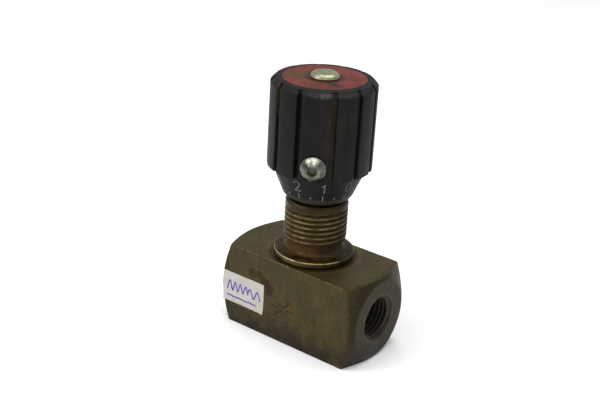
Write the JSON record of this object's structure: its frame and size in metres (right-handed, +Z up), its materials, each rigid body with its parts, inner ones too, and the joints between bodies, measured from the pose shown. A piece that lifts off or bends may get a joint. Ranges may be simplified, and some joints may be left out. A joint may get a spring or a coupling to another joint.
{
  "type": "flow control valve",
  "caption": "In-line hydraulic needle throttle with a bypass check valve: square bar body, two threaded ports, panel-mount neck and a lockable scaled knob.",
  "frame": {"origin": "centre of the body's flat underside, on the spindle axis", "axes": "+X along the ports, towards the port above the check poppet's chamber; -Y is the marked front face; +Z up the spindle towards the knob"},
  "size_m": [0.048, 0.0298, 0.079],
  "materials": {
    "body_steel": "dark yellow-brown passivated steel with oil film and rust spots",
    "neck_steel": "bronze-brown tarnished plating, rusty in the relief",
    "inner_steel": "ground and oiled",
    "spring_wire": "drawn spring wire",
    "cap_steel": "dull grey-silver with yellowish grime",
    "screw_steel": "bright zinc with dark grime in the pits",
    "brass": "machined",
    "seal_rubber": "matt nitrile",
    "seal_plastic": "white backup ring",
    "knob_plastic": "dusty black moulded plastic with brown grime",
    "red_disc": "faded red with brown scuffs",
    "ring_paint": "white and red enamel rings",
    "scale_paint": "worn off-white paint",
    "label_paper": "matt paper with purple pen strokes"
  },
  "bodies": {
    "housing": {"valve_body": "body_steel", "seat_ring": "inner_steel", "bonnet": "neck_steel", "bonnet_seal": "seal_rubber", "spring_seat": "inner_steel", "retaining_clip": "spring_wire", "wiper_ring": "seal_rubber", "turn_rings": "ring_paint", "paper_label": "label_paper", "poppet_spring": "spring_wire"},
    "check_poppet": {"check_poppet": "inner_steel"},
    "spindle_seals": {"spindle_o_ring": "seal_rubber", "backup_ring": "seal_plastic"},
    "knob_and_spindle": {"spindle": "inner_steel", "knob": "knob_plastic", "knob_insert": "brass", "knob_label": "red_disc", "spindle_cap": "cap_steel", "lock_bush": "brass", "scale_marks": "scale_paint"},
    "lock_pad": {"lock_pad": "brass"},
    "lock_screw": {"lock_screw": "screw_steel"}
  },
  "joints": [
    {"name": "check_lift", "type": "slide", "parent": "housing", "child": "check_poppet", "axis": [0, 0, 1], "range_m": [0, 0.0012], "stiffness_N_per_m": 1300, "springref_m": -0.0015, "deforming": ["poppet_spring"]},
    {"name": "spindle_lift", "type": "slide", "parent": "housing", "child": "spindle_seals", "axis": [0, 0, 1], "range_m": [0, 0.007]},
    {"name": "knob_turn", "type": "hinge", "parent": "spindle_seals", "child": "knob_and_spindle", "pos_m": [0, 0, 0.06], "axis": [0, 0, 1], "range_deg": [0, 2520]},
    {"name": "lock_pad_slide", "type": "slide", "parent": "knob_and_spindle", "child": "lock_pad", "axis": [0.4955, -0.8686, 0], "range_m": [0, 0.00105]},
    {"name": "lock_screw_turn", "type": "hinge", "parent": "lock_pad", "child": "lock_screw", "pos_m": [0, 0, 0.05615], "axis": [0.4955, -0.8686, 0], "range_deg": [0, 540]}
  ],
  "couplings": [
    {"joint": "spindle_lift", "follows": "knob_turn", "m_per_rad": 0.00015915},
    {"joint": "lock_screw_turn", "follows": "lock_pad_slide", "rad_per_m": 8976}
  ]
}
